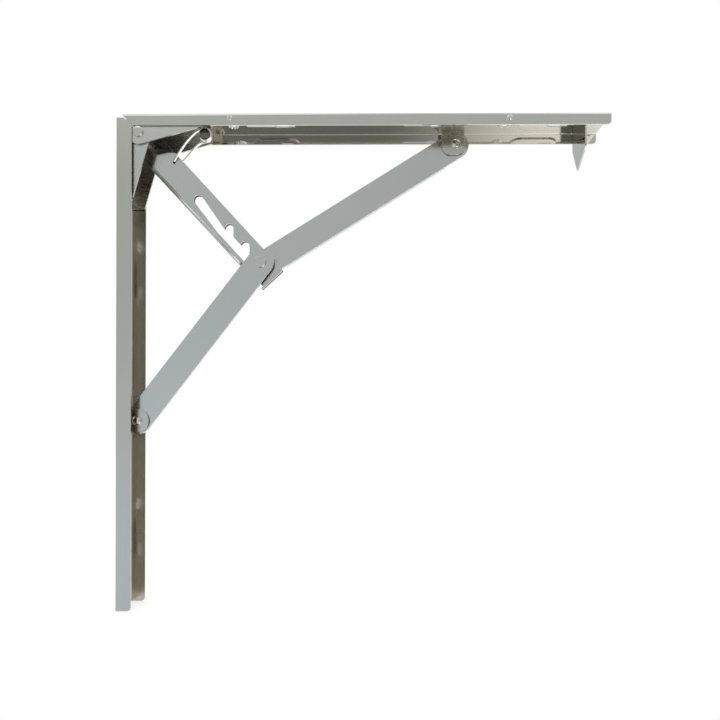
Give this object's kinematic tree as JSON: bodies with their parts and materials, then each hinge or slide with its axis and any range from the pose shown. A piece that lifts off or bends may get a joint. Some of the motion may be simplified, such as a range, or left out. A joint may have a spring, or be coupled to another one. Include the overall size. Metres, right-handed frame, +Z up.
{
  "type": "drop leaf table bracket",
  "caption": "Folding drop leaf table bracket: wall and leaf channels on a hinge, braced by two knee-jointed arms and a notched, spring-loaded lock arm.",
  "frame": {"origin": "on the wall face of the wall rail, level with the hinge axis, on the middle of the channel", "axes": "+X out from the wall along the leaf, +Z up, +Y across the channel; the picture looks along +Y"},
  "size_m": [0.4058, 0.0364, 0.408],
  "materials": {
    "rail_steel": "satin zinc plate",
    "bracket_steel": "satin zinc plate",
    "arm_steel": "satin zinc plate",
    "rivet_steel": "plated, domed",
    "spring_wire": "bright nickel plate"
  },
  "bodies": {
    "wall_frame": {"wall_rail": "rail_steel", "wall_hinge_bracket": "bracket_steel", "hinge_pin": "rivet_steel", "hinge_spacer_front": "rivet_steel", "hinge_spacer_rear": "rivet_steel", "wall_clevis": "bracket_steel", "wall_pivot_rivet": "rivet_steel"},
    "leaf_frame": {"leaf_rail": "rail_steel", "leaf_hinge_bracket": "bracket_steel", "leaf_clevis": "bracket_steel", "leaf_pivot_rivet": "rivet_steel", "guide_tongue": "bracket_steel", "spring_tab": "bracket_steel", "spring_pin": "rivet_steel", "latch_spring": "spring_wire"},
    "lower_link": {"lower_arm": "arm_steel", "knee_rivet": "rivet_steel", "knee_washer": "rivet_steel"},
    "upper_link": {"upper_arm": "arm_steel", "knee_rear_washer": "rivet_steel", "knee_rear_head": "rivet_steel"},
    "lock_link": {"lock_arm": "arm_steel", "lock_arm_rivet": "rivet_steel"}
  },
  "joints": [
    {"name": "leaf_fold", "type": "hinge", "parent": "wall_frame", "child": "leaf_frame", "pos_m": [0.018, 0, 0], "axis": [0, 1, 0], "range_deg": [0, 88.5], "deforming": ["latch_spring"]},
    {"name": "lower_arm_swing", "type": "hinge", "parent": "wall_frame", "child": "lower_link", "pos_m": [0.015, 0, -0.2375], "axis": [0, 1, 0], "range_deg": [-36.79, 0]},
    {"name": "lock_arm_swing", "type": "hinge", "parent": "wall_frame", "child": "lock_link", "pos_m": [0.018, 0, 0], "axis": [0, 1, 0], "range_deg": [0, 42.61]},
    {"name": "upper_arm_swing", "type": "hinge", "parent": "leaf_frame", "child": "upper_link", "pos_m": [0.2815, 0, -0.0025], "axis": [0, 1, 0], "range_deg": [0, 32]}
  ],
  "couplings": [
    {"joint": "lower_arm_swing", "follows": "leaf_fold", "ratio": -0.41517},
    {"joint": "lock_arm_swing", "follows": "leaf_fold", "ratio": 0.48091},
    {"joint": "upper_arm_swing", "follows": "leaf_fold", "ratio": 0.36104}
  ]
}
